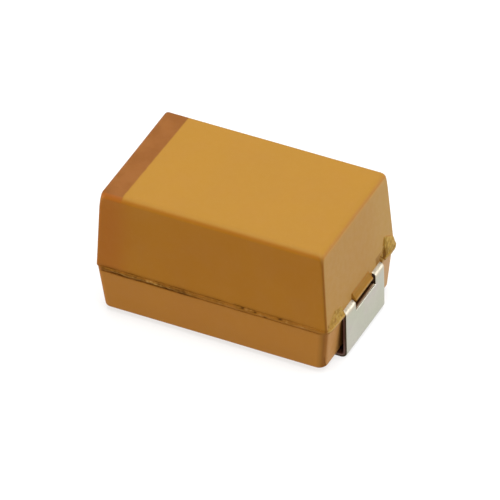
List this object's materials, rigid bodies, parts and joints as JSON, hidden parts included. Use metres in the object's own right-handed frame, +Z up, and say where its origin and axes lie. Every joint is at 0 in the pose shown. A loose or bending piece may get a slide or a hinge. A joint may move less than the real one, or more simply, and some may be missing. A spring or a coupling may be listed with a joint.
{
  "type": "tantalum capacitor",
  "caption": "Surface mount tantalum capacitor: a tan moulded block with a stripe at its positive end and a folded metal terminal under each end.",
  "frame": {"origin": "centre of the footprint on the board plane, midway between the two terminals and under the middle of the case", "axes": "+X along the length towards the negative terminal, +Y across the width, +Z up from the board"},
  "size_m": [0.0074, 0.0044, 0.0041],
  "materials": {
    "moulding_epoxy": "satin moulded",
    "tinned_strip": "matte tin plate",
    "sintered_tantalum": "porous sintered",
    "tantalum_wire": "drawn wire",
    "white_insulator": "waxy",
    "manganese_dioxide": "sooty crystalline",
    "graphite": "dull sheen",
    "silver_paint": "matte flake paint",
    "silver_paste": "cured paste"
  },
  "bodies": {
    "root": {"epoxy_case": "moulding_epoxy", "anode_terminal": "tinned_strip", "cathode_terminal": "tinned_strip", "tantalum_anode": "sintered_tantalum", "anode_wire": "tantalum_wire", "insulating_washer": "white_insulator", "manganese_dioxide_layer": "manganese_dioxide", "graphite_layer": "graphite", "silver_layer": "silver_paint", "silver_adhesive": "silver_paste"}
  },
  "joints": []
}
